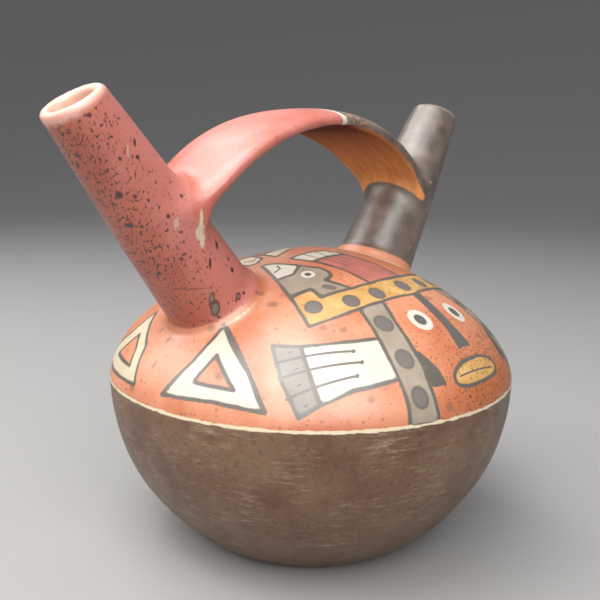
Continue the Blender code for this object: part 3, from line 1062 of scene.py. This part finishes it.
    def strap_slips(self, along, up):
        """Pink on one side of the cream line, dark on the other, and bare tan below, darker towards the
        crest as painted shade.
        """
        line = self.math("ADD", along, self.math("MULTIPLY", self.y, 0.2))
        line = self.math("ADD", line, self.ramp(self.ragged, -0.6, 0.6, 3.9, 4.9))
        flecks = self.flecks(self.warp, 1.0, self.ramp(self.y, -4, -17, 0.3, 0.65))
        pink = self.mix(self.both(self.cloud, 0.7), PINK, RED)
        pink = self.mix(self.both(flecks, 0.75), pink, SPECK)
        worn = self.both(self.above(self.noise(self.warp, 1.8), 0.58, 0.03), self.ramp(along, 22, 2))
        dark = self.mix(self.both(worn, 0.6), self.dark_slip(), TAN)
        colour = self.mix(self.above(line, 0.0), pink, dark)
        width = self.ramp(self.y, -18, 0, 1.15, 0.8)
        colour = self.mix(self.near_line(line, 0.0, width), colour, CREAM)
        strokes = self.noise(self.vector("MULTIPLY", self.place, (0.12, 0.8, 0.12)), 1.6, 3.0)
        # Painted shade: the bare underside is darkened towards the crest, where it faces down over the body
        tan = self.mix(self.ramp(along, 8.0, 50.0), DARK_TAN, TAN)
        tan = self.mix(self.ramp(strokes, 0.4, 0.7, 0.0, 0.25), tan, DARK_TAN)
        # The painted shade stops short of the near edge, which is left lighter
        edge = self.both(self.ramp(self.y, -15, -17), self.ramp(along, 4, 12))
        tan = self.mix(self.both(edge, 0.7), tan, TAN)
        under = self.below(self.wavering(up, 0.3), -1.3, 0.25)
        self.bare = self.both(under, self.above(along, -14, 3))
        return self.mix(self.bare, colour, tan)

    def blemishes(self, colour):
        """The chip at the strap's joint, the nicks, and the larger dark blots."""
        for centre, sizes in JOINT_CHIP:
            colour = self.mix(self.both(self.mark(centre, sizes), 0.9), colour, WARM_CREAM)
        for centre, sizes in SPOUT_NICKS:
            colour = self.mix(self.both(self.mark(centre, sizes, 0.4), 0.5), colour, WARM_CREAM)
        for centre, sizes in SPOUT_BLOTS:
            colour = self.mix(self.mark(centre, sizes, 0.3), colour, SPECK)
        colour = self.mix(self.both(self.mark(*SPOUT_SCRATCH, 0.5), 0.55), colour, SPECK)
        for centre, sizes in FOOT_BLOTS:
            colour = self.mix(self.mark(centre, [1.2 * size for size in sizes]), colour, SPECK)
            colour = self.mix(self.mark(centre, [0.8 * size for size in sizes]), colour, GREY_BROWN)
        return colour

    def colour(self):
        """Every slip in its place, from the lower half up to the lips and into the mouths, with a painted
        highlight at the red spout's foot and painted light inside its mouth.
        """
        red_edge, dark_edge, below_lip = self.parts(self.attribute("spouts", "Vector"))
        strap_edge, along, up = self.parts(self.attribute("strap", "Vector"))
        height = self.wavering(self.z, 0.4)
        colour = self.mix(self.above(height, EQUATOR), self.lower_half(), self.painting())
        half_width = self.ramp(self.noise(self.place, 4.0, 3.0), 0.3, 0.7, 0.25, 0.8)
        colour = self.mix(self.near_line(height, EQUATOR, half_width), colour, LINE_CREAM)
        # A painted highlight: a broken cream glare line along the front of the red spout's foot joint
        red_line = self.both(self.near_line(red_edge, -0.5, 0.5), self.ramp(self.x, -62, -56))
        front = self.both(self.below(self.y, -6, 3), self.ramp(self.x, -45, -50))
        foot_glare_line = self.both(self.both(red_line, front), self.ramp(self.fine, 0.6, 0.4, 0.2, 0.8))
        colour = self.mix(foot_glare_line, colour, WARM_CREAM)
        colour = self.mix(self.above(self.wavering(red_edge, 0.6), 2.0, 0.3), colour, self.red_slip())
        collar = self.wavering(dark_edge, 0.7)
        colour = self.mix(self.above(collar, 0.2, 0.3), colour, ORANGE)
        ring = self.both(self.near_line(collar, -1.6, 1.5), self.ramp(self.fine, 0.65, 0.45, 0.6, 1.0))
        colour = self.mix(ring, colour, WARM_CREAM)
        colour = self.mix(self.above(collar, 4.2, 0.3), colour, self.dark_slip())
        self.on_strap = self.above(self.wavering(strap_edge, 0.8), 0.0, 0.4)
        colour = self.mix(self.on_strap, colour, self.strap_slips(along, up))
        colour = self.blemishes(colour)
        lip = self.mix(self.above(self.x, 0.0), RED_LIP, DARK_LIP)
        rim = self.below(self.wavering(below_lip, 1.6), 2.2, 0.9)
        colour = self.mix(rim, colour, lip)
        # Inside the red spout's mouth the cream is partly the clay's own colour and partly painted light on
        # the far inner wall, fading to raw clay deeper down
        mouth = self.mix(self.above(self.x, 0.0), self.mix(self.mottle, LIT_MOUTH_CREAM, RED_LIP), RAW_CLAY)
        inside = self.mix(self.below(below_lip, 11.0, 3.0), RAW_CLAY, mouth)
        return self.mix(self.above(self.attribute("depth"), 0.9, 0.5), colour, inside)

    def finish(self):
        """Satin slips, duller on the lower half and on the strap's bare underside."""
        self.feed(self.shader.inputs["Base Color"], self.colour())
        rough = self.ramp(self.noise(self.place, 9.0, 4.0), 0.3, 0.7, 0.33, 0.5)
        bare = self.both(self.bare, self.on_strap)
        self.feed(self.shader.inputs["Roughness"], self.math("ADD", rough, self.both(bare, 0.4)))
        shine = self.above(self.z, EQUATOR, 2.0)
        shine = self.ramp(shine, 0, 1, 0.45, 1.0)
        shine = self.both(shine, self.ramp(bare, 0, 1, 1.0, 0.1))
        self.feed(self.shader.inputs["Specular IOR Level"], shine)
        pores = self.noise(self.place, 0.8, 2.0)
        strokes = self.noise(self.vector("MULTIPLY", self.place, (0.2, 0.2, 1.0)), 1.6, 3.0)
        relief = self.math("ADD", self.both(pores, 0.5), strokes)
        bump = self.add("ShaderNodeBump", {"Height": relief, "Strength": 0.15, "Distance": 0.0003})
        self.feed(self.shader.inputs["Normal"], bump.outputs[0])
        return self.material


def dress_vessel():
    vessel = build_vessel()
    paint_attributes(vessel)
    vessel.data.materials.clear()
    vessel.data.materials.append(PaintedClay().finish())
    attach(vessel, "root")
    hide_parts("lower_body", "shoulder", "red_spout", "dark_spout", "strap_bridge")


# Studio, in metres and degrees: each light has its azimuth, elevation, size, power and colour
FLOOR_RADIUS = 4.0
FLOOR_FLAT_RADIUS = 1.6
FLOOR_RISE = 1.1
LIGHT_AIM = (0, 0, 0.09)
LIGHT_DISTANCE = 1.0
WARM_WHITE = (1.0, 0.98, 0.95)
WHITE = (1.0, 1.0, 1.0)
SOFT_BOXES = (
    ("window", -42, 40, 1.0, 16.0, WARM_WHITE),
    ("side_window", -135, 44, 1.0, 10.0, WARM_WHITE),
    ("roof_window", -100, 74, 0.6, 7.5, WHITE),
    ("back_window", 166, 50, 0.25, 1.4, WHITE),
)


def lay_floor():
    """A pale round floor whose rim curves up behind the vessel, seen from any side."""
    bpy.ops.object.select_all(action="DESELECT")
    bpy.ops.mesh.primitive_circle_add(vertices=96, radius=FLOOR_RADIUS, location=(0, 0, FLOOR_RISE))
    floor = bpy.context.object
    floor.name = "floor"
    bpy.ops.object.transform_apply(location=True)
    bpy.ops.object.mode_set(mode="EDIT")
    bpy.ops.mesh.select_all(action="SELECT")
    radius, height = FLOOR_RADIUS, FLOOR_RISE
    for share in np.linspace(0.9, 0.0, 10):
        narrower = FLOOR_FLAT_RADIUS + (FLOOR_RADIUS - FLOOR_FLAT_RADIUS) * float(share)
        lower = FLOOR_RISE * float(share) ** 2
        drop = (0, 0, lower - height)
        bpy.ops.mesh.extrude_region_move(TRANSFORM_OT_translate={"value": drop})
        growth = narrower / radius
        bpy.ops.transform.resize(value=(growth, growth, 1), center_override=(0, 0, lower))
        radius, height = narrower, lower
    bpy.ops.mesh.edge_face_add()
    bpy.ops.mesh.select_all(action="SELECT")
    bpy.ops.mesh.normals_make_consistent(inside=True)
    bpy.ops.object.mode_set(mode="OBJECT")
    bpy.ops.object.shade_smooth_by_angle(angle=math.radians(30))
    surface = Slips("pale_floor")
    surface.shader.inputs["Base Color"].default_value = hue(140, 139, 138)
    surface.shader.inputs["Roughness"].default_value = 0.9
    floor.data.materials.append(surface.material)


def soft_box(name, azimuth, elevation, size, power, colour):
    """A square light that looks at the vessel from this direction."""
    light = bpy.data.lights.new(name, "AREA")
    light.size = size
    light.energy = power
    light.color = colour
    turn, rise = math.radians(azimuth), math.radians(elevation)
    way = Vector((math.sin(turn) * math.cos(rise), -math.cos(turn) * math.cos(rise), math.sin(rise)))
    obj = bpy.data.objects.new(name, light)
    obj.location = Vector(LIGHT_AIM) + way * LIGHT_DISTANCE
    obj.rotation_euler = way.to_track_quat("Z", "Y").to_euler()
    bpy.context.scene.collection.objects.link(obj)


def light_studio():
    world = bpy.data.worlds.new("studio")
    world.use_nodes = True
    background = world.node_tree.nodes["Background"]
    background.inputs["Color"].default_value = hue(214, 216, 222)
    background.inputs["Strength"].default_value = 0.5
    bpy.context.scene.world = world
    for box in SOFT_BOXES:
        soft_box(*box)
    bpy.context.scene.view_settings.view_transform = "Standard"


def set_camera():
    data = bpy.data.cameras.new("camera")
    data.sensor_width = 36
    data.lens = CAMERA_LENS
    data.clip_start = 0.01
    camera = bpy.data.objects.new("camera", data)
    place, aim = Vector(CAMERA_PLACE) * MM, Vector(CAMERA_AIM) * MM
    level = (aim - place).to_track_quat("-Z", "Y")
    roll = Quaternion((0, 0, 1), math.radians(CAMERA_ROLL))
    camera.location = place
    camera.rotation_euler = (level @ roll).to_euler()
    bpy.context.scene.collection.objects.link(camera)
    bpy.context.scene.camera = camera


set_camera()
dress_vessel()
lay_floor()
light_studio()
